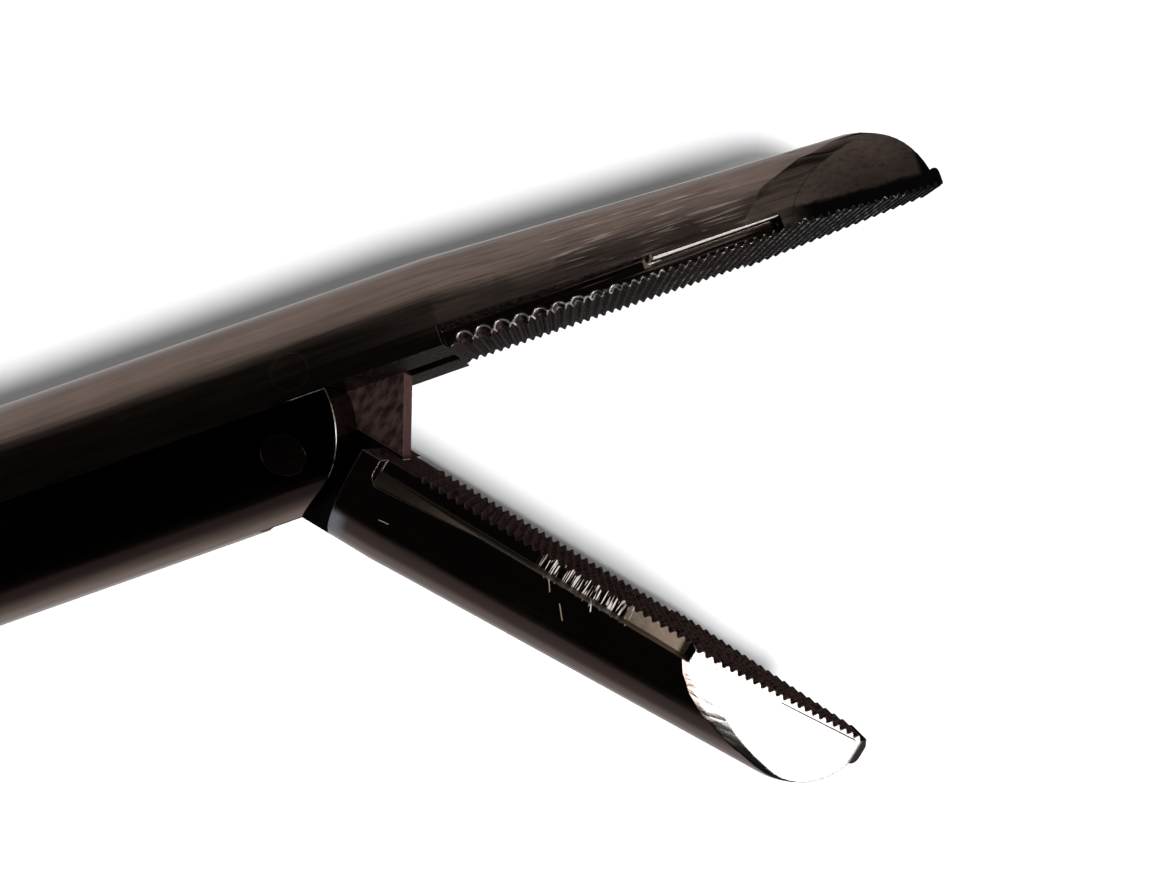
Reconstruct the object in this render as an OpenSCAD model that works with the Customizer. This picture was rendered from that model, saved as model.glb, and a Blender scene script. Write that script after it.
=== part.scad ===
// Alligator forceps: two half-round bars make one slender shaft. One bar is fixed and
// carries the upper jaw and the thumb ring, the other slides and swings the lower jaw.
// X runs along the shaft to the tips, Y towards the fixed jaw, Z along the hinge pins.
// The rest pose has the jaws open.

/* [Shaft] */
// Diameter of the round shaft that the two half bars make
shaft_d = 6; // [5.6:0.1:6.6]
// Distance along the shaft from the jaw drive pin to the lever pin
shaft_len = 112; // [90:1:150]
// Gap between the flat faces of the two half bars
split_gap = 0.04; // [0.03:0.01:0.06]

/* [Jaws] */
// Distance from the jaw drive pin, jaws open, to the tips of the closed jaws
jaw_len = 20.2; // [18:0.1:24]
// Angle of the lower jaw when it is fully open
jaw_open = 50.8; // [40:0.2:54]
// Distance from the drive pin to where the backs of the jaws start to taper
back_taper_x = 5; // [4.6:0.1:7]
// Radius of the nose of a jaw, seen from the side
nose_r = 2.5; // [2.2:0.05:2.7]
// Width of a jaw at its tip
tip_w = 1.4; // [1.2:0.1:2.4]
// Length of the flats that narrow the tips
flat_len = 6.6; // [5:0.1:8]
// Radius of the nose of the upper jaw, which the tip of its toothed band stands out of
upper_nose_r = 2.4; // [2.2:0.05:2.5]
// Distance from the tip of the upper jaw back to its nose
upper_nose_back = 0.3; // [0.2:0.02:0.4]
// Radius of the rounded end of the upper toothed band
upper_tip_r = 0.3; // [0.2:0.02:0.4]
// Radius of the rounded tip of the lower jaw
lower_tip_r = 0.42; // [0.3:0.02:0.5]
// Distance that the lower tip stands out beyond the upper one
lower_tip_out = 0.12; // [0.08:0.01:0.2]
// Distance from the drive pin, jaws open, to the rear face of the closed lower jaw
jaw_root_x = 3.64; // [3.6:0.02:4]
// Gap between the nose of the slide and the rear face of the closed lower jaw
nose_gap = 0.05; // [0.05:0.01:0.1]
// Radius of the nose of the slide
slide_nose_r = 2.35; // [2.2:0.05:2.5]
// Depth of the middle of that nose below the split face
slide_nose_y = 0.3; // [0.2:0.05:0.4]
// Angle at which the belly of the slide runs out from its nose
belly_turn = 25; // [20:1:30]
// Gap between the teeth of the closed jaws
bite_gap = 0.06; // [0.05:0.01:0.1]

/* [Teeth] */
// Distance from one tooth to the next
tooth_pitch = 0.27; // [0.24:0.01:0.4]
// Height of a tooth
tooth_h = 0.11; // [0.08:0.01:0.15]
// Width of the small land on the crest of a tooth and at its root
tooth_land = 0.05; // [0.03:0.01:0.08]
// Distance from the drive pin, jaws open, to the first tooth
tooth_x = 5.2; // [5.2:0.1:6]
// Width of the toothed face
bite_w = 4.25; // [3.8:0.05:4.6]
// Depth of the side relief of the upper jaw
upper_relief_h = 0.5; // [0.3:0.05:0.5]
// Extra depth of the upper relief at the outer surface
relief_fall = 0.06; // [0:0.02:0.2]
// Depth of the side relief of the lower jaw
lower_relief_h = 0.4; // [0.3:0.05:0.5]
// Extra depth of the lower relief at the outer surface, where it starts
run_in_h = 0.38; // [0.2:0.02:0.4]
// Length over which that extra depth runs out
run_in_len = 4.6; // [3:0.1:6]
// Radius of the scallops along the edges of the upper teeth
scallop_r = 0.26; // [0.22:0.01:0.26]
// Depth of the first scallop
scallop_h = 0.23; // [0.1:0.01:0.24]
// Number of scallops on one side
scallops = 9; // [1:1:10]
// Height of the step in the upper relief
relief_step = 0.12; // [0.05:0.01:0.15]
// Length of the side relief of the upper jaw
upper_relief_len = 9.6; // [8:0.1:10]
// Length of the side relief of the lower jaw
lower_relief_len = 9.7; // [8:0.1:10]
// Distance from the start of the upper relief to its step
step_len = 5.9; // [4:0.1:7]
// Corner radius at the start of the lower relief
relief_r = 0.4; // [0.2:0.05:0.5]

/* [Jaw linkage] */
// Height of the jaw pivot above the split face
pivot_y = 0.7; // [0.6:0.05:0.8]
// Depth of the drive pin below the split face
drive_y = 1.29; // [1.25:0.01:1.4]
// Diameter of the jaw pivot pin
pivot_d = 1; // [0.9:0.05:1.1]
// Diameter of the jaw drive pin
drive_d = 1.1; // [1:0.05:1.2]
// Thickness of the jaw tang
tang_t = 1.2; // [1:0.05:1.4]
// Radius of the tang round its pins
tang_r = 1.15; // [1.1:0.01:1.18]
// Height of the tang fin above the split face, jaws closed
fin_h = 2.2; // [2:0.05:2.25]
// Distance from the drive pin, jaws open, to the foot of the closed fin
fin_x = 4.3; // [4.2:0.05:4.4]
// Distance the tang reaches behind the rear face of the lower jaw at its belly
tang_back = 1.19; // [1.1:0.01:1.3]

/* [Guide studs] */
// Diameter of the stud that ties the bars together
stud_d = 1.8; // [1.6:0.1:2]
// Diameter of the stud head
stud_head_d = 3.1; // [2.9:0.1:3.3]
// Thickness of the stud head
stud_head_t = 0.8; // [0.6:0.05:0.9]
// Distance from the drive pin back to the front stud
front_stud_back = 20; // [14:1:30]
// Distance from the lever pin forward to the rear stud
rear_stud_ahead = 24; // [20:1:34]

/* [Handle box] */
// Radius of the box round the lever pivot
box_r = 5; // [4.8:0.1:5.6]
// Thickness of the box
box_t = 7.8; // [7.4:0.1:9]
// Length of the neck that blends the box into the shaft
box_neck_len = 13; // [10:1:18]
// Distance from the lever pin to the lever pivot, square to the shaft
lever_arm = 6; // [5.6:0.1:6.4]
// Depth of the lever pin below the split face
lever_pin_y = 1.5; // [1.4:0.05:1.6]
// Diameter of the lever pin
lever_pin_d = 1.5; // [1.3:0.1:1.6]
// Diameter of the pivot screw
screw_d = 3; // [2.6:0.1:3.2]
// Diameter of the pivot screw head
screw_head_d = 5; // [4.6:0.1:5.4]
// Width of the screwdriver slot
screw_slot_w = 0.8; // [0.6:0.1:1]
// Depth of the screwdriver slot
screw_slot_h = 0.7; // [0.5:0.1:0.8]
// Thickness of the lever blade
blade_t = 2.4; // [2:0.1:2.6]
// Radius of the lever boss round the pivot
boss_r = 3.6; // [3.4:0.1:3.7]
// Length of the bar behind the lever pin
tail_len = 6.5; // [6:0.1:8]

/* [Handles] */
// Inner diameter of a finger ring
ring_d = 20; // [18:0.5:22]
// Radial width of a ring
ring_w = 3.6; // [3:0.1:4]
// Thickness of a ring
ring_t = 4.6; // [4:0.1:5.4]
// Width of the flat band inside a ring
ring_land = 2; // [1.4:0.1:2.4]
// Distance from the lever pivot to the centre of the thumb ring
thumb_reach = 58; // [52:1:66]
// Direction of the thumb ring, from the tips round to the back
thumb_turn = 152; // [150:0.5:156]
// Distance from the lever pivot to the centre of the finger ring
finger_reach = 60; // [54:1:66]
// Direction of the finger ring with the jaws open
finger_turn = 106; // [100:0.5:107]
// Direction in which the finger shank leaves the box, jaws open
finger_start = 92; // [88:0.5:96]
// Direction in which the thumb shank leaves the box
thumb_start = 164; // [160:0.5:168]
// Length of the first stretch of the finger shank
finger_bend = 24; // [20:1:28]
// Length of the first stretch of the thumb shank
thumb_bend = 25; // [20:1:28]
// Radius of a shank at the box
shank_r = 2.7; // [2.4:0.1:2.9]
// Radius of a shank at its ring
shank_end_r = 2; // [1.8:0.1:2.2]

/* [Clearances] */
// Radial gap of a pin that is pressed in
press_gap = 0.01; // [0.01:0.005:0.02]
// Radial gap of a pin that turns in its hole
turn_gap = 0.03; // [0.02:0.01:0.05]
// Side gap of a pin that slides in a slot
slot_gap = 0.04; // [0.035:0.005:0.06]
// Side gap of the tang and the lever blade in their slots
side_gap = 0.05; // [0.04:0.01:0.1]
// Free space at the ends of a slot
end_gap = 0.4; // [0.3:0.05:0.5]

/* [Hidden] */
$fn = 96;

// Longer than any depth that a cut has to pass through
far = 20;
// Small step that keeps a straight side from only touching an arc
hair = 0.004;
// Share by which the ball at a bend is fuller than the rods that meet there
knuckle = 1.03;
// Distance that the plan of the jaws reaches past their rounded tips
tip_ease = 0.06;
shaft_r = shaft_d / 2;
steel = "#4a4542";
polished = "#5d5653";

// Jaw linkage: the slide carries the drive pin past the pivot, half the travel each side
link_h = pivot_y + drive_y;
travel = 2 * link_h * tan(jaw_open / 2);
pivot = [travel / 2, pivot_y];
drive_open = [0, -drive_y];
drive_closed = [travel, -drive_y];
link_r = link_h / cos(jaw_open / 2);
// Where the back edge of the closed tang crosses the split line, and the fork that clears it
tang_back_x = pivot.x + pivot_y * tan(jaw_open / 2) - tang_r / cos(jaw_open / 2);
fork_back = max(tang_r, travel - tang_back_x) + end_gap / 2;

// Middle of the round nose of the slide bar
slide_nose = [jaw_root_x - travel - nose_gap - slide_nose_r, -slide_nose_y];

// Teeth
tooth_count = ceil((jaw_len - tooth_x) / tooth_pitch);
relief_lead = 0.25;
relief_x = tooth_x - relief_lead;
lower_relief_back = 0.1;
lower_relief_x = fin_x - lower_relief_back;

// The scallops get shallower by this share of the first from one to the next
scallop_fade = 0.07;
scallop_reach = 2.4;

// Fin of the lower jaw and the throat in the upper bar that takes it
fin_top_x = 2.8;
fin_edge = 0.25;
throat_x = relief_x;
throat_gap = 0.1;
throat_h = fin_h + throat_gap;
throat_lip = 0.4;

// Handle end
lever_pin_at = [-shaft_len, -lever_pin_y];
hub = [-shaft_len + travel / 2, lever_arm - lever_pin_y];
lever_lean = atan(travel / 2 / lever_arm);
lever_swing = 2 * lever_lean;
arm_reach = 5.6;
arm_r = 1.6;
neck_reach = 10;
neck_r = 2.4;
sweep_gap = 0.3;
rod_start = 9;
lever_slot = 6.4;
heel_reach = 9;
heel_r = 3.3;
heel_rise = 1.8;
thumb_ring = hub + thumb_reach * [cos(thumb_turn), sin(thumb_turn)];
finger_ring = hub + finger_reach * [cos(finger_turn), sin(finger_turn)];
ring_r = ring_d / 2 + ring_w;
ring_edge = 1.28;
rear_x = -shaft_len - tail_len;
front_stud_x = -front_stud_back;
rear_stud_x = -shaft_len + rear_stud_ahead;
stud_sink = 0.1;

// The origin is under the middle of the whole object, on the table it lies on
nose_x = jaw_len - nose_r;
open_nose_y = pivot.y - (nose_x - pivot.x) * sin(jaw_open) - pivot.y * cos(jaw_open);
low_y = open_nose_y - nose_r;
high_y = finger_ring.y + ring_r;
low_x = thumb_ring.x - ring_r;
origin = [(low_x + jaw_len) / 2, (low_y + high_y) / 2, -box_t / 2];

// A direction in the XY plane
function heading(a) = [cos(a), sin(a)];

// The point where a line from p touches the circle at c, on the side given by 1 or -1
function touch(p, c, r, side) =
    let (
        d = norm(c - p),
        a = atan2(c.y - p.y, c.x - p.x) + side * asin(r / d)
    )
    p + sqrt(d * d - r * r) * heading(a);

// The side normal shared by the outer tangents of two circles
function tangent_normal(c1, r1, c2, r2, side) =
    let (
        d = norm(c2 - c1),
        a = atan2(c2.y - c1.y, c2.x - c1.x)
    )
    heading(a + side * acos((r1 - r2) / d));

// The line that both toothed faces follow, from the first tooth to the tip
function tooth_line(lift) = [
    for (i = [0 : 2 * tooth_count], side = [-0.5, 0.5])
        [
            tooth_x + i * tooth_pitch / 2 + side * tooth_land,
            (i % 2 == 0 ? 0.5 : -0.5) * tooth_h + lift
        ]
];

// Two circles and the straight sides that join them, a hair inside their common tangents
module taper_link(c1, r1, c2, r2) {
    translate(c1) circle(r1);
    translate(c2) circle(r2);
    left = tangent_normal(c1, r1, c2, r2, 1);
    right = tangent_normal(c1, r1, c2, r2, -1);
    polygon([
        c1 + (r1 - hair) * left, c2 + (r2 - hair) * left,
        c2 + (r2 - hair) * right, c1 + (r1 - hair) * right
    ]);
}

// A flat outline in XY made into a plate, centred on the hinge plane
module plate(t) {
    linear_extrude(height = t, center = true) children();
}

// A round pin along the hinge axis
module pin_at(at, r, length) {
    translate([at.x, at.y, 0]) cylinder(r = r, h = length, center = true);
}

// A round bar along the shaft
module round_bar(from_x, to_x, r1, r2) {
    translate([from_x, 0, 0]) rotate([0, 90, 0]) cylinder(h = to_x - from_x, r1 = r1, r2 = r2);
}

// A tapered round rod in the XY plane
module rod(from, to, r1, r2) {
    reach = norm(to - from);
    turn = atan2(to.y - from.y, to.x - from.x);
    translate([from.x, from.y, 0]) rotate([0, 0, turn]) rotate([0, 90, 0])
        cylinder(h = reach, r1 = r1, r2 = r2);
}

// Ball at the end of a rod, slightly fuller than the rod, with its seam turned to one side
module ball(at, r, turn) {
    translate([at.x, at.y, 0]) rotate([0, 0, turn]) sphere(r * knuckle);
}

// The round outside of a closed jaw: straight, then a slight taper, then a round nose
module jaw_round(to_x, r) {
    round_bar(jaw_root_x - 1, back_taper_x, shaft_r, shaft_r);
    round_bar(back_taper_x, to_x, shaft_r, r);
    translate([to_x, 0, 0]) sphere(r);
}

// The plan of the jaws: two flats narrow the tip to a small round end
module jaw_plan(from_x, tip_x) {
    flat_x = jaw_len - flat_len;
    tip = [tip_x - tip_w / 2, 0];
    start = [flat_x, shaft_r];
    left = touch(start, tip, tip_w / 2, 1);
    rotate([90, 0, 0]) linear_extrude(height = far, center = true) {
        polygon([
            [from_x, -shaft_r], [flat_x, -shaft_r], [left.x, -left.y],
            left, start, [from_x, shaft_r]
        ]);
        translate(tip) circle(tip_w / 2);
    }
}

// Relief beside the toothed face, on the side of the jaw that up points to
module relief(from_x, length, depth, up) {
    for (side = [-1, 1])
        translate([from_x, 0, 0]) rotate([90, 0, 90]) linear_extrude(height = length)
            polygon([
                [-up, side * bite_w / 2],
                [up * depth, side * bite_w / 2],
                [up * (depth + relief_fall), side * shaft_r],
                [up * (depth + relief_fall), side * far],
                [-up, side * far]
            ]);
}

// The flat half space above the split face and the upper teeth
module upper_half(from_x) {
    teeth = tooth_line(bite_gap / 2);
    plate(far) polygon(concat(
        [[from_x, split_gap / 2], [tooth_x - tooth_pitch / 2, split_gap / 2]],
        teeth,
        [[jaw_len + 1, far], [from_x, far]]
    ));
}

// The half space below the closed lower jaw's face and teeth
module lower_half(from_x) {
    teeth = tooth_line(-bite_gap / 2);
    plate(far) polygon(concat(
        [[from_x, -far], [from_x, -bite_gap / 2], [tooth_x - tooth_pitch / 2, -bite_gap / 2]],
        teeth,
        [[jaw_len + 1, -far]]
    ));
}

// Finger ring: a flat band inside, round outside
module ring(at) {
    translate([at.x, at.y, 0]) rotate_extrude() intersection() {
        translate([ring_d / 2, -ring_t / 2]) square([ring_w, ring_t]);
        translate([ring_d / 2 + ring_w / 2, 0]) rotate(45) square(ring_edge * ring_t, center = true);
        union() {
            translate([ring_d / 2, -ring_land / 2]) square([ring_w / 2, ring_land]);
            translate([ring_d / 2 + ring_w / 2, 0]) circle(norm([ring_w / 2, ring_land / 2]));
        }
    }
}

// Shank with one bend that runs from the box to the rim of its ring
module shank(start_turn, start_reach, bend_reach, ring_at) {
    start = hub + start_reach * heading(start_turn);
    bend = hub + bend_reach * heading(start_turn);
    mid_r = (shank_r + shank_end_r) / 2;
    to_ring = (ring_at - bend) / norm(ring_at - bend);
    outside = heading(start_turn) - to_ring;
    outside_turn = atan2(outside.y, outside.x);
    difference() {
        union() {
            ball(start, shank_r, outside_turn);
            rod(start, bend, shank_r, mid_r);
            ball(bend, mid_r, outside_turn);
            rod(bend, ring_at - to_ring * (ring_d / 2 + ring_w / 2), mid_r, shank_end_r);
        }
        pin_at(ring_at, ring_d / 2, far);
    }
}

// Outline of the lever blade: a boss, the arm to the lever pin and the neck to the shank
module blade_outline() {
    arm_turn = -90 - lever_lean;
    taper_link(hub, boss_r, hub + arm_reach * heading(arm_turn), arm_r);
    taper_link(hub, boss_r, hub + neck_reach * heading(finger_start), neck_r);
}

// Everything the lever blade sweeps through in the box
module blade_sweep() {
    wide = boss_r + sweep_gap;
    neck = neck_r + sweep_gap;
    shut = finger_start + lever_swing;
    translate(hub) {
        circle(wide);
        polygon([
            (wide - hair) * heading(finger_start - 90),
            far * heading(finger_start) + neck * heading(finger_start - 90),
            far * heading(shut) + neck * heading(shut + 90),
            (wide - hair) * heading(shut + 90)
        ]);
    }
    translate([hub.x - wide + hair, -far]) square([2 * (wide - hair), far + hub.y]);
}

module box_outline() {
    translate(hub) circle(box_r);
    taper_link(hub, box_r, [hub.x + box_neck_len, shaft_r / 2], shaft_r / 2);
    taper_link(hub, box_r, hub + heel_reach * heading(thumb_start), heel_r);
    translate([rear_x, 0]) square([hub.x - rear_x, heel_rise]);
}

// Upper bar, upper jaw, handle box, thumb shank and ring in one forging
module fixed_frame() {
    color(steel) difference() {
        union() {
            intersection() {
                union() {
                    round_bar(rear_x, jaw_root_x, shaft_r, shaft_r);
                    jaw_round(jaw_len - upper_nose_back - upper_nose_r, upper_nose_r);
                    pin_at([jaw_len - upper_tip_r, upper_tip_r * 0.8], upper_tip_r, far);
                }
                jaw_plan(rear_x, jaw_len + tip_ease);
                upper_half(rear_x);
            }
            intersection() {
                plate(box_t) box_outline();
                upper_half(rear_x - far);
            }
            shank(thumb_start, heel_reach, thumb_bend, thumb_ring);
            ring(thumb_ring);
        }
        relief(relief_x, step_len, upper_relief_h, 1);
        relief(relief_x + step_len - hair, upper_relief_len - step_len, upper_relief_h - relief_step, 1);
        for (i = [0 : scallops - 1]) scallop_pair(i);
        throat_slot();
        pin_at(pivot, pivot_d / 2 + press_gap, far);
        stud_hole(front_stud_x);
        stud_hole(rear_stud_x);
        plate(blade_t + 2 * side_gap) blade_sweep();
        pin_at(hub, screw_d / 2 + press_gap, far);
        screw_sink(press_gap);
    }
}

// Two scallops across the edges of the upper teeth, one on each side, two teeth long
module scallop_pair(i) {
    for (side = [-1, 1])
        translate([tooth_x + (2 * i + 1) * tooth_pitch, 0, side * bite_w / 2])
            rotate([-side * 45, 0, 0])
            translate([0, scallop_h * (1 - i * scallop_fade) - scallop_r, 0])
            cylinder(r = scallop_r, h = scallop_reach * scallop_r, center = true);
}

// Slot in the upper bar that takes the fin of the lower jaw
module throat_slot() {
    slot_x = -tang_r - end_gap / 2;
    plate(tang_t + 2 * side_gap) {
        translate([slot_x, -far]) square([throat_x - throat_h / 2 - slot_x, throat_h + far]);
        translate([0, -far]) square([throat_x, throat_lip + far]);
        translate([throat_x - throat_h / 2, throat_h / 2]) circle(throat_h / 2);
    }
}

module stud_hole(x) {
    translate([x, 0, 0]) rotate([-90, 0, 0]) cylinder(r = stud_d / 2 + press_gap, h = far);
}

// Cone for the head of the pivot screw
module screw_sink(gap) {
    sink_h = (screw_head_d - screw_d) / 2;
    translate([hub.x, hub.y, box_t / 2 - sink_h])
        cylinder(h = sink_h + gap, r1 = screw_d / 2 + gap, r2 = screw_head_d / 2 + 2 * gap);
}

// Lower bar: forked at the front for the jaw tang and slotted at the back for the lever
module slide_bar() {
    color(steel) difference() {
        intersection() {
            round_bar(rear_x, jaw_root_x, shaft_r, shaft_r);
            plate(far) slide_outline();
        }
        plate(tang_t + 2 * side_gap) translate([-fork_back, -far]) square([far, 2 * far]);
        pin_at(drive_open, drive_d / 2 + press_gap, far);
        stud_slot(front_stud_x);
        stud_slot(rear_stud_x);
        plate(blade_t + 2 * side_gap)
            translate([lever_pin_at.x - lever_slot / 2, -far]) square([lever_slot, 2 * far]);
        pin_at(lever_pin_at, lever_pin_d / 2 + press_gap, far);
    }
}

// Side view of the slide bar: the belly rises to the round nose along a slant
module slide_outline() {
    belly = slide_nose + (slide_nose_r - hair) * heading(belly_turn - 90);
    intersection() {
        union() {
            translate([rear_x, -far]) square([belly.x - hair - rear_x, far]);
            translate(slide_nose) circle(slide_nose_r);
        }
        translate([rear_x, -far - split_gap / 2]) square([far - rear_x, far]);
        translate(belly) rotate(belly_turn) translate([-8 * far, 0]) square(9 * far);
    }
}

// Slot for a stud shank with a wider step for its head; the stud starts at the front end
module stud_slot(x) {
    back = travel + end_gap / 2;
    ahead = end_gap / 2;
    seat_y = -shaft_r + stud_sink + stud_head_t;
    translate([x, 0, 0]) rotate([90, 0, 0]) {
        stud_way(stud_d / 2 + slot_gap, back, ahead, far);
        translate([0, 0, -seat_y - side_gap])
            stud_way(stud_head_d / 2 + 2 * slot_gap, back, ahead, far);
    }
}

module stud_way(r, back, ahead, h) {
    linear_extrude(height = h) {
        translate([-back, 0]) circle(r);
        translate([ahead, 0]) circle(r);
        translate([-back, -r]) square([back + ahead, 2 * r]);
    }
}

// Lower jaw with its tang and fin, drawn closed and then swung open about its pivot
module moving_jaw() {
    color(steel) translate(pivot) rotate(-jaw_open) translate(-pivot) difference() {
        union() {
            intersection() {
                union() {
                    jaw_round(nose_x, nose_r);
                    pin_at([jaw_len + lower_tip_out - lower_tip_r, -lower_tip_r], lower_tip_r, far);
                }
                jaw_plan(jaw_root_x, jaw_len + lower_tip_out + tip_ease);
                lower_half(jaw_root_x);
            }
            intersection() {
                plate(tang_t) tang_outline();
                round_bar(-far, far, shaft_r, shaft_r);
            }
        }
        lower_relief();
        pin_at(pivot, pivot_d / 2 + turn_gap, far);
        plate(far) drive_slot();
    }
}

module tang_outline() {
    back = heading(180 + jaw_open / 2);
    translate(pivot) circle(tang_r);
    translate(drive_closed) circle(tang_r);
    polygon([
        pivot + [0, tang_r], [fin_top_x, fin_h],
        [fin_top_x + fin_edge, fin_h - fin_edge / 5], [fin_x, 0],
        [fin_x, -shaft_r], [jaw_root_x - tang_back, -shaft_r],
        drive_closed + tang_r * back, pivot + tang_r * back
    ]);
}

// Radial slot in the tang in which the drive pin slides
module drive_slot() {
    r = drive_d / 2 + slot_gap;
    translate(pivot) rotate(jaw_open / 2) {
        translate([0, -link_r - slot_gap]) circle(r);
        translate([0, -link_h + slot_gap]) circle(r);
        translate([-r, -link_r - slot_gap]) square([2 * r, link_r - link_h + 2 * slot_gap]);
    }
}

// Side relief of the lower jaw: it starts deep at a round corner, and that depth runs out
module lower_relief() {
    difference() {
        union() {
            relief(lower_relief_x, lower_relief_len, lower_relief_h, -1);
            intersection() {
                relief(lower_relief_x, run_in_len, lower_relief_h + run_in_h, -1);
                for (side = [-1, 1]) run_in(side);
            }
        }
        corner_y = -lower_relief_h - run_in_h;
        plate(far) difference() {
            translate([lower_relief_x, corner_y]) square([relief_r, relief_r]);
            translate([lower_relief_x + relief_r, corner_y + relief_r]) circle(relief_r);
        }
    }
}

// The space above the slanted floor where the lower relief starts
module run_in(side) {
    rise = run_in_h / run_in_len;
    lean = atan(run_in_h / (shaft_r - bite_w / 2) * cos(atan(rise)));
    translate([lower_relief_x, -lower_relief_h, side * bite_w / 2])
        rotate([side * lean, 0, atan(rise)])
        translate([-far / 2, 0, -far / 2]) cube(far);
}

// A cross pin ground flush with the round of the shaft
module flush_pin(at, d) {
    color(polished) intersection() {
        pin_at(at, d / 2, far);
        round_bar(at.x - d, at.x + d, shaft_r, shaft_r);
    }
}

module jaw_pivot_pin() {
    flush_pin(pivot, pivot_d);
}

module jaw_drive_pin() {
    flush_pin(drive_open, drive_d);
}

// Headed stud, riveted in the upper bar and holding the lower bar against it
module guide_stud(x) {
    color(polished) intersection() {
        translate([x, 0, 0]) rotate([-90, 0, 0]) {
            translate([0, 0, -shaft_r + stud_sink]) cylinder(r = stud_head_d / 2, h = stud_head_t);
            translate([0, 0, -shaft_r + stud_sink]) cylinder(r = stud_d / 2, h = far);
        }
        round_bar(x - stud_head_d, x + stud_head_d, shaft_r, shaft_r);
    }
}

module front_guide_stud() {
    guide_stud(front_stud_x);
}

module rear_guide_stud() {
    guide_stud(rear_stud_x);
}

// Front handle: ring, shank, blade on the pivot, and a fork round the lever pin
module finger_lever() {
    fork_turn = -90 - lever_lean;
    color(steel) difference() {
        union() {
            plate(blade_t) blade_outline();
            shank(finger_start, rod_start, finger_bend, finger_ring);
            ring(finger_ring);
        }
        pin_at(hub, screw_d / 2 + turn_gap, far);
        r = lever_pin_d / 2 + slot_gap;
        plate(far) translate(hub) rotate(fork_turn) {
            translate([lever_arm, 0]) circle(r);
            translate([lever_arm, -r]) square([far, 2 * r]);
        }
    }
}

// Pivot screw with a countersunk head, flush on both sides of the box
module handle_pivot_screw() {
    color(polished) difference() {
        union() {
            pin_at(hub, screw_d / 2, box_t);
            intersection() {
                screw_sink(0);
                translate([hub.x, hub.y, 0]) cylinder(r = screw_head_d / 2, h = box_t / 2);
            }
        }
        translate([hub.x, hub.y, box_t / 2])
            rotate(30) cube([far, screw_slot_w, 2 * screw_slot_h], center = true);
    }
}

module lever_pin() {
    flush_pin(lever_pin_at, lever_pin_d);
}

module in_place() {
    translate(-origin) children();
}

in_place() fixed_frame();
in_place() slide_bar();
in_place() moving_jaw();
in_place() jaw_pivot_pin();
in_place() jaw_drive_pin();
in_place() front_guide_stud();
in_place() rear_guide_stud();
in_place() finger_lever();
in_place() handle_pivot_screw();
in_place() lever_pin();
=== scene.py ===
"""Looks of the alligator forceps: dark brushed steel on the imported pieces, floor, light and camera."""
from math import cos, radians, sin

import bpy
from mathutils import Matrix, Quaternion, Vector


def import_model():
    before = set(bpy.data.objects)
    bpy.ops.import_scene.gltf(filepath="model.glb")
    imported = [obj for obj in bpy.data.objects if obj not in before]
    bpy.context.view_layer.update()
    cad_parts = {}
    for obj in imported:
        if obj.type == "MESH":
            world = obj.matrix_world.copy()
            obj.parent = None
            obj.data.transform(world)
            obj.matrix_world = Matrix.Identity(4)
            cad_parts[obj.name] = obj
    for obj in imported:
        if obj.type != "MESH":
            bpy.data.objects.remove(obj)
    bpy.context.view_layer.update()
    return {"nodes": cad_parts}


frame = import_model()

MM = 0.001
# Start of the instrument's own axes: level with the open drive pin, on the split face, halfway up
ORIGIN = Vector((77.833, -30.2745, 3.9)) * MM
# Middles of the drive pin and the jaw's pivot in millimetres along and across from there
DRIVE_PIN = (0.0, -1.28)
PIVOT = (0.9449, 0.7)
# Angle by which the lower jaw stands open
JAW_OPEN = radians(50.8)
# The flats that narrow the tips start here, in millimetres along and out from the middle
FLAT_START = (13.6, 3.0)
FLAT_SLOPE = 0.378
# Middle of the two rings in millimetres from the start
RINGS = (-152, 0, 0)

STEEL_DARK = (0.112, 0.082, 0.070)
STEEL_LIGHT = (0.205, 0.152, 0.124)
# Near-black painted as shade on the tips' ends and beside the teeth, also drawn as one dark line on the
# lower jaw
SHADE_BLACK = (0.006, 0.005, 0.005)
# Near-black of the rough cut faces, also painted as shade on tops, a tip and a shoulder, and as a dark
# reflection line
MACHINED_AND_SHADE = (0.016, 0.010, 0.009)
MACHINED_LIGHT = (0.080, 0.053, 0.049)
WORN = (0.19, 0.135, 0.125)
# Near-white of one scratch, also painted as highlight on edge rims and as a reflection on the fixed
# jaw's ledge
HIGHLIGHT_AND_SCRATCH_WHITE = (0.92, 0.87, 0.82)
SCRATCHED = (0.90, 0.80, 0.74)
# Painted highlight on a patch of brushing hairs on the fixed jaw
SHINE_HIGHLIGHT = (0.45, 0.37, 0.33)
GROUND = (0.17, 0.155, 0.148)
RUSTY_DARK = (0.008, 0.005, 0.0045)
RUSTY = (0.080, 0.048, 0.043)
RUSTY_EDGE = (0.075, 0.040, 0.040)
# Bluish painted highlight at the lower jaw's rear corner
BLUE_HIGHLIGHT = (0.14, 0.14, 0.165)
GOLD = (0.36, 0.27, 0.20)
GOLD_DARK = (0.15, 0.115, 0.088)
WHITE = (1, 1, 1)

# How much the fine and the cloudy noise change the roughness, and the depth of the brushing in mm
FINE_ROUGH = 0.14
CLOUD_ROUGH = 0.1
HAIR_DEPTH = 0.003
# Radius in metres of the rounding that the shader gives to sharp edges, and to the flush pins
EDGE = 0.00005
PIN_EDGE = EDGE * 0.2
# Strength of the shine of the part of a finish that isn't metal
PLAIN_GLOSS = 0.5
# How strongly the edges show bare metal where no zone says otherwise
PLAIN_WEAR = 0.1
# Share of the mirrored light that is left at the edge of sight, which keeps dark steel dark there
EDGE_TINT = (0.62, 0.60, 0.60)
ROUGH_EDGE_TINT = (0.07, 0.055, 0.055)


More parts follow.
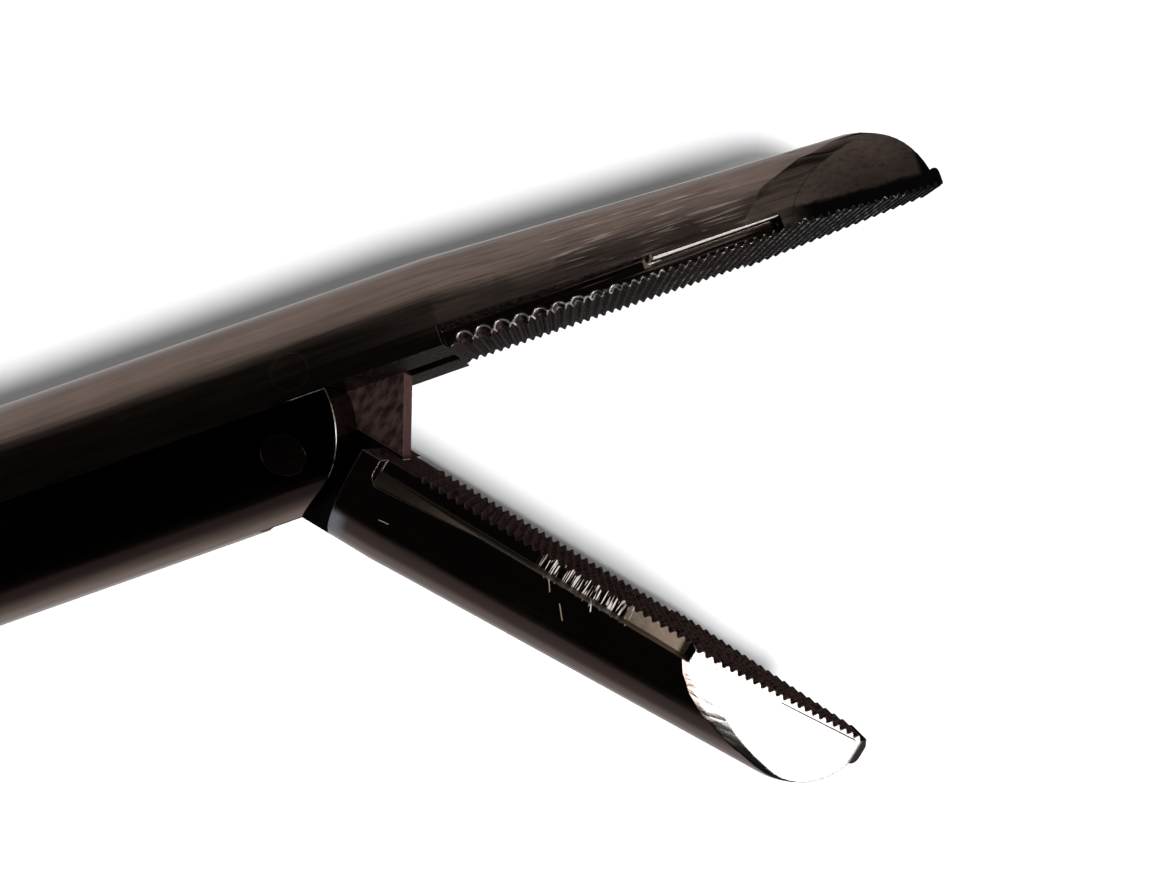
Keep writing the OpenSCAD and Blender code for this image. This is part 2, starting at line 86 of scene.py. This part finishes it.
class Nodes:
    """Short calls that add shader nodes and link or set their inputs."""

    def __init__(self, tree):
        tree.nodes.clear()
        self.tree = tree

    def add(self, kind, inputs=None, **props):
        node = self.tree.nodes.new(kind)
        for key, value in props.items():
            setattr(node, key, value)
        for key, value in (inputs or {}).items():
            self.put(node.inputs[key], value)
        return node

    def put(self, socket, value):
        if isinstance(value, bpy.types.NodeSocket):
            self.tree.links.new(value, socket)
        elif socket.type == "RGBA" and len(value) == 3:
            socket.default_value = (*value, 1)
        else:
            socket.default_value = value

    def math(self, operation, *values):
        inputs = dict(enumerate(values))
        return self.add("ShaderNodeMath", inputs, operation=operation).outputs[0]

    def plus(self, *values):
        total = values[0]
        for value in values[1:]:
            total = self.math("ADD", total, value)
        return total

    def times(self, *values):
        total = values[0]
        for value in values[1:]:
            total = self.math("MULTIPLY", total, value)
        return total

    def minus(self, first, second):
        return self.math("SUBTRACT", first, second)

    def vector(self, operation, first, second):
        return self.add("ShaderNodeVectorMath", {0: first, 1: second}, operation=operation)

    def step(self, value, zero_at, one_at, smooth=True):
        """Runs from 0 at one value to 1 at the other, which may be the smaller of the two."""
        kind = "SMOOTHSTEP" if smooth else "LINEAR"
        inputs = {"Value": value, "From Min": zero_at, "From Max": one_at}
        return self.add("ShaderNodeMapRange", inputs, interpolation_type=kind).outputs[0]

    def band(self, value, low, high, soft):
        """1 between low and high, with soft ends outside them."""
        return self.times(self.step(value, low - soft, low), self.step(value, high + soft, high))

    def mix(self, factor, first, second):
        """From the first colour to the second."""
        node = self.add("ShaderNodeMix", {"Factor": factor}, data_type="RGBA")
        self.put(node.inputs[6], first)
        self.put(node.inputs[7], second)
        return node.outputs[2]

    def blend(self, factor, first, second):
        """From the first number to the second."""
        node = self.add("ShaderNodeMix", {0: factor}, data_type="FLOAT")
        self.put(node.inputs[2], first)
        self.put(node.inputs[3], second)
        return node.outputs[0]

    def noise(self, place, scale, detail=2.0, offset=(0, 0, 0)):
        """Noise that is stretched or squeezed by a scale per millimetre on each axis."""
        inputs = {"Vector": place, "Scale": scale, "Location": offset}
        stretched = self.add("ShaderNodeMapping", inputs).outputs[0]
        inputs = {"Vector": stretched, "Scale": 1.0, "Detail": detail}
        return self.add("ShaderNodeTexNoise", inputs).outputs["Fac"]


def new_material(name):
    material = bpy.data.materials.new(name)
    material.use_nodes = True
    return material, Nodes(material.node_tree)


def local_place(nodes, turn):
    """Place in millimetres and normal along the instrument's axes, with the jaw turned shut."""
    source = nodes.add("ShaderNodeTexCoord").outputs
    moved = nodes.vector("SUBTRACT", source["Object"], ORIGIN).outputs[0]
    place = nodes.vector("MULTIPLY", moved, (1 / MM, 1 / MM, 1 / MM)).outputs[0]
    normal = source["Normal"]
    if turn:
        about = {"Vector": place, "Center": (*PIVOT, 0), "Angle": turn}
        place = nodes.add("ShaderNodeVectorRotate", about, rotation_type="Z_AXIS").outputs[0]
        about = {"Vector": normal, "Center": (0, 0, 0), "Angle": turn}
        normal = nodes.add("ShaderNodeVectorRotate", about, rotation_type="Z_AXIS").outputs[0]
    return place, normal


class Steel:
    """Brushed dark steel whose finish, painted shade and painted highlight change from zone to zone of a
    piece.
    """

    def __init__(self, name, turn=0.0, roughness=0.2):
        self.material, self.nodes = new_material(name)
        nodes = self.nodes
        self.place, self.normal = local_place(nodes, turn)
        self.x, self.y, self.z = nodes.add("ShaderNodeSeparateXYZ", {0: self.place}).outputs
        self.ny, nz = nodes.add("ShaderNodeSeparateXYZ", {0: self.normal}).outputs[1:]
        # Distance from the instrument's middle, and how squarely a face looks up or down
        self.side = nodes.math("ABSOLUTE", self.z)
        self.flat = nodes.math("ABSOLUTE", nz)
        self.fine = nodes.noise(self.place, scale=(0.45, 8, 8), detail=3.0)
        broad = nodes.noise(self.place, scale=(0.12, 2.6, 2.6), offset=(3, 1, 2))
        cloud = nodes.noise(self.place, scale=(0.5, 0.5, 0.5), detail=3.0, offset=(7, 5, 1))
        tone = nodes.plus(
            nodes.times(self.fine, 0.5), nodes.times(broad, 0.3), nodes.times(cloud, 0.3))
        self.color = nodes.mix(nodes.step(tone, 0.38, 0.72, smooth=False), STEEL_DARK, STEEL_LIGHT)
        middle = (FINE_ROUGH + CLOUD_ROUGH) / 2
        self.rough = nodes.plus(
            roughness - middle, nodes.times(self.fine, FINE_ROUGH), nodes.times(cloud, CLOUD_ROUGH))
        self.metal = 1.0
        self.gloss = PLAIN_GLOSS
        self.height = nodes.times(self.fine, HAIR_DEPTH)
        self.rim_wear_and_highlight = PLAIN_WEAR
        self.rim_color = WORN
        self.edge_tint = EDGE_TINT

    def zone(self, mask, color=None, rough=None, metal=None, height=None):
        """Gives the masked zone a colour, roughness, share of metal and height in millimetres."""
        nodes = self.nodes
        if color is not None:
            self.color = nodes.mix(mask, self.color, color)
        if rough is not None:
            self.rough = nodes.blend(mask, self.rough, rough)
        if metal is not None:
            self.metal = nodes.blend(mask, self.metal, metal)
        if height is not None:
            self.height = nodes.plus(self.height, nodes.times(mask, height))

    def dull_rim(self, mask):
        """Takes the mirrored light off the edge of sight inside the masked zone."""
        self.edge_tint = self.nodes.mix(mask, self.edge_tint, ROUGH_EDGE_TINT)

    def edge_wear_and_highlight(self, mask, rim_wear_and_highlight, color=WORN):
        """Sets how strongly the piece's edges show their rim colour inside the masked zone: bare metal
        of wear with the plain colour, a painted highlight with a bright one.
        """
        self.rim_wear_and_highlight = self.nodes.blend(mask, self.rim_wear_and_highlight, rim_wear_and_highlight)
        self.rim_color = self.nodes.mix(mask, self.rim_color, color)

    def within(self, x=None, y=None, side=None, soft=0.05):
        """1 inside ranges of millimetres along and across the instrument, and away from its middle."""
        parts = []
        for value, limits in ((self.x, x), (self.y, y), (self.side, side)):
            if limits is not None:
                parts.append(self.nodes.band(value, limits[0], limits[1], soft))
        return self.nodes.times(*parts)

    def disc(self, middle, radius, soft=0.1):
        """1 within a radius of a pin's middle, in millimetres."""
        gap = self.nodes.vector("SUBTRACT", self.place, (*middle, 0)).outputs[0]
        flat_gap = self.nodes.vector("MULTIPLY", gap, (1, 1, 0)).outputs[0]
        length = self.nodes.vector("LENGTH", flat_gap, (0, 0, 0)).outputs["Value"]
        return self.nodes.step(length, radius + soft, radius)

    def mark(self, start, end, half_width, color, core=0.5):
        """A scratch on the upper side, from start to end in millimetres, full in its core."""
        nodes = self.nodes
        along = Vector(end) - Vector(start)
        length = along.length
        along.normalize()
        from_start = nodes.vector("SUBTRACT", self.place, (*start, 0)).outputs[0]
        run = nodes.vector("DOT_PRODUCT", from_start, (*along, 0)).outputs["Value"]
        off = nodes.vector("DOT_PRODUCT", from_start, (-along.y, along.x, 0)).outputs["Value"]
        off = nodes.math("ABSOLUTE", off)
        mask = nodes.times(
            nodes.band(run, 0, length, half_width * 2), nodes.step(off, half_width, half_width * core),
            nodes.step(self.z, 0.0, 0.2))
        self.zone(mask, color, rough=0.35, metal=0.4)

    def finish(self, edge=EDGE):
        """Rounds the edges and gives them their rim colour, which is wear where plain and a painted
        highlight where bright, and makes the shader.
        """
        nodes = self.nodes
        soft = nodes.add("ShaderNodeBevel", {"Radius": edge}, samples=6).outputs[0]
        hard = nodes.add("ShaderNodeNewGeometry").outputs["Normal"]
        # Below 1 where the rounding turns the normal away from that of the face
        bend = nodes.vector("DOT_PRODUCT", soft, hard).outputs["Value"]
        patches = nodes.noise(self.place, scale=(2.2, 2.2, 2.2), detail=3.0, offset=(2, 8, 4))
        uneven = nodes.plus(0.3, nodes.times(nodes.step(patches, 0.35, 0.6), 0.7))
        rim = nodes.times(nodes.step(bend, 0.985, 0.93), uneven, self.rim_wear_and_highlight)
        self.zone(rim, self.rim_color, rough=0.3, metal=0.85)
        height = nodes.times(self.height, MM)
        bump = nodes.add("ShaderNodeBump", {
            "Strength": 1.0, "Distance": 1.0, "Height": height, "Normal": soft})
        shader = nodes.add("ShaderNodeBsdfPrincipled", {
            "Base Color": self.color, "Roughness": self.rough, "Metallic": self.metal,
            "Specular IOR Level": self.gloss, "Specular Tint": self.edge_tint,
            "Normal": bump.outputs[0]})
        nodes.add("ShaderNodeOutputMaterial", {0: shader.outputs[0]})
        return self.material


def machined(steel, mask):
    """The rough cut faces: teeth, underside and slot walls."""
    nodes = steel.nodes
    grit = nodes.noise(steel.place, scale=(7, 7, 7), detail=3.0)
    streak = nodes.noise(steel.place, scale=(11, 2.5, 3.0), offset=(1, 4, 9))
    tone = nodes.step(nodes.plus(nodes.times(grit, 0.6), nodes.times(streak, 0.4)), 0.40, 0.66)
    color = nodes.mix(tone, MACHINED_AND_SHADE, MACHINED_LIGHT)
    steel.zone(mask, color, rough=0.45, metal=0.9, height=nodes.times(grit, 0.06))
    steel.dull_rim(mask)


def rusty(steel, mask, share):
    """The mottled, brownish faces that no tool has smoothed, with hardly any shine."""
    nodes = steel.nodes
    spots = nodes.noise(steel.place, scale=(5.5, 2.5, 5.5), detail=6.0, offset=(3, 3, 1))
    color = nodes.mix(nodes.times(nodes.step(spots, 0.32, 0.68), share), RUSTY_DARK, RUSTY)
    steel.zone(mask, color, rough=0.55, metal=0.08, height=nodes.times(spots, 0.05))
    steel.dull_rim(mask)
    steel.gloss = nodes.blend(mask, steel.gloss, 0.0)


def shaded_top(steel, plain_to=0.30, full_from=0.62):
    """1 on top of a piece and 0 low on its sides: the mask for the painted shade that darkens the tops.
    """
    return steel.nodes.step(steel.flat, plain_to, full_from)


def tip_flats(steel, color, depth):
    """The flats that narrow a tip, brushed more coarsely and blended into the round by depth."""
    nodes = steel.nodes
    plane = nodes.plus(FLAT_START[1] + FLAT_START[0] * FLAT_SLOPE, nodes.times(steel.x, -FLAT_SLOPE))
    above = nodes.minus(plane, steel.side)
    coarse = nodes.noise(steel.place, scale=(0.5, 10, 10), detail=3.0, offset=(4, 4, 2))
    sunk = nodes.math("MAXIMUM", nodes.minus(depth, above), 0.0)
    outside = nodes.times(nodes.step(steel.flat, 0.3, 0.5), nodes.step(steel.x, 12.0, 12.5))
    reach = nodes.plus(depth + 0.12, nodes.times(coarse, -0.3))
    mask = nodes.times(nodes.step(nodes.minus(reach, above), 0.0, 0.05), outside)
    steel.zone(mask, color, rough=nodes.plus(0.12, nodes.times(coarse, 0.14)))
    sinking = nodes.times(sunk, outside, -1.0)
    steel.height = nodes.plus(steel.height, sinking, nodes.times(mask, coarse, 0.004))
    return mask


def frame_brushing(steel, hair):
    """Long dark hairs on the fixed jaw's round, a painted highlight on a patch of its hairs, and a
    painted dark reflection line along it.
    """
    nodes = steel.nodes
    jaw = nodes.step(steel.x, 3.0, 5.0)
    steel.zone(nodes.times(jaw, nodes.step(hair, 0.50, 0.30), 0.4), MACHINED_AND_SHADE)
    # Painted highlight: a patch of the hairs made bright and shining
    patch = steel.within(x=(8.8, 13.4), y=(0.5, 1.9), soft=0.7)
    painted_shine = nodes.times(nodes.step(hair, 0.56, 0.68), patch, 0.6)
    steel.zone(painted_shine, SHINE_HIGHLIGHT, rough=0.28, metal=0.7)
    # Painted reflection: a dark line along the jaw's round, parallel to its upper edge
    off_reflection_line = nodes.math("ABSOLUTE", nodes.plus(steel.y, nodes.times(steel.x, 0.06), -3.134))
    reflection_line = nodes.times(nodes.step(off_reflection_line, 0.055, 0.02), nodes.step(hair, 0.35, 0.5))
    steel.zone(nodes.times(reflection_line, steel.within(x=(3.2, 11.6), soft=0.5), 0.8), MACHINED_AND_SHADE)


def frame_tip(steel, hair):
    """The fixed jaw's tip: brushed flats with painted shade that darkens them towards the teeth and the
    end, and painted near-black shade above the teeth and on the end.
    """
    nodes = steel.nodes
    flat = tip_flats(steel, None, depth=0.5)
    steel.zone(nodes.times(flat, nodes.step(hair, 0.45, 0.7), 0.5), WORN, rough=0.3)
    # Painted shade: the flat darkens towards the tip and towards the teeth
    tip_shade = nodes.times(nodes.step(steel.x, 13.6, 17.5), nodes.step(steel.y, 2.3, 0.3), 0.7)
    steel.zone(tip_shade, MACHINED_AND_SHADE)
    # Painted shade: near black over the jaw beside the teeth from 14.1 mm on, with a ragged edge
    ragged = nodes.plus(steel.y, nodes.times(steel.fine, 0.16))
    shade_above_teeth = nodes.times(nodes.step(steel.x, 14.1, 15.6), nodes.step(ragged, 0.62, 0.46))
    steel.zone(shade_above_teeth, SHADE_BLACK, rough=0.35)
    # Painted shade: the fixed tip's end near black
    steel.zone(nodes.step(steel.x, 19.3, 19.5), SHADE_BLACK, rough=0.35)


def frame_relief(steel):
    """The ledge along the fixed jaw's relief, made bright by a painted reflection, and the notch behind
    it.
    """
    nodes = steel.nodes
    beside = steel.within(x=(10.98, 14.5), y=(0.3, 0.75), side=(2.4, 3.1))
    # Painted reflection: the downward-facing ledge near white
    reflecting_ledge = nodes.times(nodes.step(steel.ny, -0.5, -0.8), beside)
    steel.zone(reflecting_ledge, HIGHLIGHT_AND_SCRATCH_WHITE, rough=0.5, metal=0.4)
    notch = steel.within(x=(10.74, 10.9), y=(0.3, 0.5), side=(2.0, 2.7), soft=0.04)
    steel.zone(notch, GOLD_DARK, rough=0.45, metal=0.5)


def fixed_frame_steel():
    steel = Steel("frame_steel")
    nodes = steel.nodes
    machined(steel, nodes.times(nodes.step(steel.ny, -0.15, -0.35), nodes.step(steel.x, 2.2, 2.4)))
    hair = nodes.noise(steel.place, scale=(0.3, 13, 13), detail=3.0, offset=(5, 3, 8))
    frame_brushing(steel, hair)
    frame_tip(steel, hair)
    frame_relief(steel)
    scallops = steel.within(x=(5.3, 11.2), y=(-0.2, 0.4), side=(2.0, 2.3))
    # Painted highlight: the rims of the scallops near white
    steel.edge_wear_and_highlight(scallops, 1.0, HIGHLIGHT_AND_SCRATCH_WHITE)
    # Painted highlight on worn spots: bright flecks on the edges along the teeth
    flecks = nodes.times(nodes.step(hair, 0.5, 0.6), 0.9)
    steel.edge_wear_and_highlight(steel.within(x=(11.3, 18.6), y=(-0.2, 0.25)), flecks, HIGHLIGHT_AND_SCRATCH_WHITE)
    pivot = steel.disc(PIVOT, radius=0.9)
    steel.edge_wear_and_highlight(pivot, 0.0)
    edge = nodes.plus(EDGE, nodes.times(scallops, EDGE * 0.8), nodes.times(pivot, -EDGE * 0.9))
    return steel.finish(edge)


def jaw_raw_faces(steel):
    """The lower jaw's bite and the fin of its tang, whose front edge is lighter."""
    nodes = steel.nodes
    bite = nodes.times(nodes.step(steel.ny, 0.15, 0.35), nodes.step(steel.y, -0.3, -0.2))
    rusty(steel, bite, share=0.9)
    fin = nodes.times(nodes.step(steel.y, 0.05, 0.1), nodes.step(steel.side, 1.9, 1.8),
                      nodes.step(steel.x, 5.2, 5.0))
    rusty(steel, fin, share=0.35)
    steel.zone(nodes.times(fin, nodes.step(steel.flat, 0.5, 0.3)), RUSTY_EDGE)


def jaw_relief(steel):
    """The lower jaw's relief: its floor, the golden block ahead, and the cuts across its wall."""
    nodes = steel.nodes
    in_relief = nodes.times(nodes.step(steel.side, 2.9, 2.8), nodes.step(steel.side, 2.05, 2.1))
    facing_up = nodes.step(steel.ny, 0.45, 0.7)
    relief_floor = nodes.times(facing_up, in_relief, nodes.step(steel.y, -0.2, -0.3))
    steel.zone(relief_floor, GOLD_DARK, rough=0.35, metal=0.9)
    upright = nodes.step(steel.flat, 0.8, 0.9)
    wall = nodes.times(upright, steel.within(y=(-0.45, 0.1), side=(2.0, 2.3)))
    block = nodes.times(wall, steel.within(x=(11.9, 13.8)))
    grain = nodes.noise(steel.place, scale=(5, 9, 9), detail=3.0, offset=(6, 2, 2))
    tone = nodes.plus(nodes.step(steel.x, 11.9, 13.9), nodes.times(grain, 0.8), -0.4)
    gold = nodes.mix(tone, GOLD_DARK, GOLD)
    steel.zone(block, gold, rough=0.45, metal=0.3, height=nodes.times(grain, 0.02))
    across = nodes.noise(steel.place, scale=(26, 1.3, 1.3), detail=1.0, offset=(9, 7, 3))
    ends = nodes.noise(steel.place, scale=(9, 0.2, 0.2), detail=1.0, offset=(2, 2, 9))
    lower_end = nodes.step(nodes.plus(steel.y, nodes.times(ends, 0.5)), -0.22, -0.12)
    cuts = nodes.times(nodes.step(across, 0.5, 0.6), steel.within(x=(9.3, 11.9), soft=0.25), lower_end,
                       nodes.step(steel.y, 0.06, 0.0), upright)
    steel.zone(cuts, SCRATCHED, rough=0.4, metal=0.3)


def jaw_marks(steel):
    """The single scratches and dark lines that the photograph shows on the lower jaw."""
    steel.mark((4.91, -1.46), (5.17, -1.43), half_width=0.016, color=GOLD)
    steel.mark((9.57, -0.46), (9.75, -0.72), half_width=0.02, color=GOLD)
    steel.mark((10.16, -0.89), (10.45, -1.24), half_width=0.02, color=GOLD)
    steel.mark((10.85, -0.42), (10.95, -0.62), half_width=0.02, color=HIGHLIGHT_AND_SCRATCH_WHITE)
    steel.mark((16.95, -0.19), (19.7, -0.15), half_width=0.032, color=SHADE_BLACK, core=0.3)
    steel.mark((14.45, -0.19), (15.8, -0.22), half_width=0.015, color=GOLD_DARK)


def moving_jaw_steel():
    steel = Steel("jaw_steel", turn=JAW_OPEN)
    nodes = steel.nodes
    # Painted shade: the jaw's top darkened to the darkest steel tone
    steel.zone(shaded_top(steel, plain_to=0.1, full_from=0.3), STEEL_DARK)
    # Painted shade: a band of slanting faces low on the jaw's back darkened
    shoulder_shade = nodes.times(nodes.band(steel.flat, 0.66, 0.8, 0.1), nodes.step(steel.y, -1.0, -1.4))
    steel.zone(nodes.times(shoulder_shade, 0.8), MACHINED_AND_SHADE)
    jaw_raw_faces(steel)
    # Painted highlight: a soft bluish patch at the jaw's rear corner
    rear_corner_highlight = steel.within(x=(3.3, 3.8), y=(-3.0, -2.1), soft=0.4)
    steel.zone(rear_corner_highlight, BLUE_HIGHLIGHT)
    tip_flats(steel, GROUND, depth=0.34)
    jaw_relief(steel)
    jaw_marks(steel)
    # Painted shade: the lower tip's end near black
    steel.zone(nodes.step(steel.x, 19.85, 20.0), SHADE_BLACK, rough=0.35)
    # Painted shade: the teeth from about 14 mm on near black
    teeth_shade_strip = nodes.times(nodes.step(steel.x, 13.6, 14.2), nodes.step(steel.y, 0.02, 0.1))
    steel.zone(teeth_shade_strip, SHADE_BLACK, rough=0.4)
    rear = nodes.step(steel.x, 4.6, 4.2)
    steel.edge_wear_and_highlight(rear, 0.8)
    return steel.finish()


def slide_steel():
    steel = Steel("slide_steel")
    # Painted shade: the slide's top darkened to near black
    steel.zone(shaded_top(steel), MACHINED_AND_SHADE)
    nose = steel.within(x=(0.8, 2.6), y=(-2.2, -0.1), soft=0.2)
    # Painted highlight: the rim of the slide's nose near white
    steel.edge_wear_and_highlight(nose, 1.0, HIGHLIGHT_AND_SCRATCH_WHITE)
    drive = steel.disc(DRIVE_PIN, radius=0.75)
    steel.edge_wear_and_highlight(drive, 0.05)
    return steel.finish(steel.nodes.plus(EDGE, steel.nodes.times(drive, PIN_EDGE - EDGE)))


def drive_pin_steel():
    """The pin's ends are ground flush; painted shade darkens their tops nearly as much as the painted
    shade on the slide round them.
    """
    steel = Steel("drive_pin_steel", roughness=0.22)
    steel.zone(steel.nodes.times(shaded_top(steel), 0.7), MACHINED_AND_SHADE)
    return steel.finish(PIN_EDGE)


def pin_steel():
    return Steel("pin_steel", roughness=0.22).finish(PIN_EDGE)


def handle_steel():
    return Steel("handle_steel", roughness=0.3).finish()


def dress(names, material):
    for name in names:
        node = frame["nodes"][name]
        node.data.materials.clear()
        node.data.materials.append(material)


def floor():
    """A pale floor that shows white to the camera and in the metal, and keeps the shadow."""
    size = 1.5
    corners = [(-size, -size, 0), (size, -size, 0), (size, size, 0), (-size, size, 0)]
    mesh = bpy.data.meshes.new("floor")
    mesh.from_pydata(corners, [], [(0, 1, 2, 3)])
    plane = bpy.data.objects.new("floor", mesh)
    bpy.context.scene.collection.objects.link(plane)
    material, nodes = new_material("pale_floor")
    paper = nodes.add("ShaderNodeBsdfDiffuse", {"Color": (0.86, 0.86, 0.87)}).outputs[0]
    glow = nodes.add("ShaderNodeEmission", {"Color": (0.9, 0.97, 1), "Strength": 0.09}).outputs[0]
    white = nodes.add("ShaderNodeEmission", {"Color": WHITE, "Strength": 0.92}).outputs[0]
    lit = nodes.add("ShaderNodeAddShader", {0: paper, 1: glow}).outputs[0]
    rays = nodes.add("ShaderNodeLightPath").outputs
    camera_sees = nodes.add("ShaderNodeMixShader", {0: rays["Is Camera Ray"], 1: paper, 2: lit})
    mirrored = nodes.math("MAXIMUM", rays["Is Glossy Ray"], rays["Is Transmission Ray"])
    mixed = nodes.add("ShaderNodeMixShader", {0: mirrored, 1: camera_sees.outputs[0], 2: white})
    nodes.add("ShaderNodeOutputMaterial", {0: mixed.outputs[0]})
    mesh.materials.append(material)


def heading(azimuth, elevation):
    """Direction towards an azimuth and elevation in degrees."""
    turn = radians(azimuth)
    rise = radians(elevation)
    return Vector((cos(rise) * cos(turn), cos(rise) * sin(turn), sin(rise)))


def world():
    """A studio that is pale round the horizon and dark overhead, as the steel mirrors it."""
    overhead = 0.014
    pale = 0.75
    studio = bpy.data.worlds.new("studio")
    bpy.context.scene.world = studio
    studio.use_nodes = True
    nodes = Nodes(studio.node_tree)
    way = nodes.add("ShaderNodeTexCoord").outputs["Generated"]
    x, y, up = nodes.add("ShaderNodeSeparateXYZ", {0: way}).outputs
    # The pale band reaches higher towards +y, and a little towards +x
    lift = nodes.plus(0.02, nodes.times(nodes.math("MAXIMUM", y, 0.0), 0.5), nodes.times(x, 0.1))
    low = nodes.step(nodes.minus(lift, up), 0.0, 0.26)
    level = nodes.plus(overhead, nodes.times(low, pale))
    for azimuth, elevation, wide, strength in ((12, 27, 16, 0.42), (66, 40, 34, 0.16)):
        near = nodes.vector("DOT_PRODUCT", way, heading(azimuth, elevation)).outputs["Value"]
        patch = nodes.step(near, cos(radians(wide)), cos(radians(wide * 0.3)))
        level = nodes.math("MAXIMUM", level, nodes.times(patch, strength))
    back = nodes.add("ShaderNodeBackground", {"Color": WHITE, "Strength": level}).outputs[0]
    white = nodes.add("ShaderNodeBackground", {"Color": WHITE, "Strength": 1.0}).outputs[0]
    seen = nodes.add("ShaderNodeLightPath").outputs["Is Camera Ray"]
    mixed = nodes.add("ShaderNodeMixShader", {0: seen, 1: back, 2: white}).outputs[0]
    nodes.add("ShaderNodeOutputWorld", {0: mixed})


def lamp(name, kind, place, aim):
    """A light that the camera doesn't see, turned towards its aim."""
    light = bpy.data.lights.new(name, kind)
    body = bpy.data.objects.new(name, light)
    body.location = place
    body.rotation_mode = "QUATERNION"
    body.rotation_quaternion = (Vector(aim) - Vector(place)).to_track_quat("-Z", "Y")
    body.visible_camera = False
    bpy.context.scene.collection.objects.link(body)
    return body


def softbox(name, place, aim, size, energy):
    body = lamp(name, "AREA", place, aim)
    body.data.shape = "RECTANGLE"
    body.data.size = size
    body.data.size_y = size
    body.data.energy = energy
    return body


def lights():
    """A soft key over the sliding bar's side, and softboxes for the lower tip's flat and the rings."""
    key = lamp("key", "SUN", ORIGIN + heading(azimuth=-54, elevation=61.5) * 0.5, ORIGIN)
    key.data.energy = 3.7
    key.data.angle = radians(12)
    key.visible_glossy = False
    flat = ORIGIN + Vector((9.7, -12, 2.2)) * MM
    mirrored_from = flat + heading(azimuth=-61, elevation=30) * 0.35
    softbox("softbox", mirrored_from, flat, size=0.10, energy=0.6)
    rings = ORIGIN + Vector(RINGS) * MM
    above = rings + Vector((-0.02, -0.03, 0.11))
    narrow = softbox("handle_softbox", above, rings, size=0.08, energy=0.12)
    narrow.data.spread = radians(75)


def camera():
    """The photograph's view: close above the jaws, turned so that the shaft rises to the right."""
    data = bpy.data.cameras.new("camera")
    data.sensor_width = 36
    data.lens = 25.79
    data.clip_start = 0.001
    data.clip_end = 10
    view = bpy.data.objects.new("camera", data)
    view.location = (0.084983, -0.0337045, 0.02858)
    view.rotation_mode = "QUATERNION"
    view.rotation_quaternion = Quaternion((0.01484, 0.04435, 0.99891), radians(-19.48))
    bpy.context.scene.collection.objects.link(view)
    bpy.context.scene.camera = view


camera()
floor()
world()
lights()
dress(["fixed_frame"], fixed_frame_steel())
dress(["slide_bar"], slide_steel())
dress(["moving_jaw"], moving_jaw_steel())
dress(["finger_lever"], handle_steel())
dress(["jaw_drive_pin"], drive_pin_steel())
dress(["jaw_pivot_pin", "front_guide_stud", "rear_guide_stud", "handle_pivot_screw", "lever_pin"],
      pin_steel())

bpy.context.scene.view_settings.view_transform = "Standard"
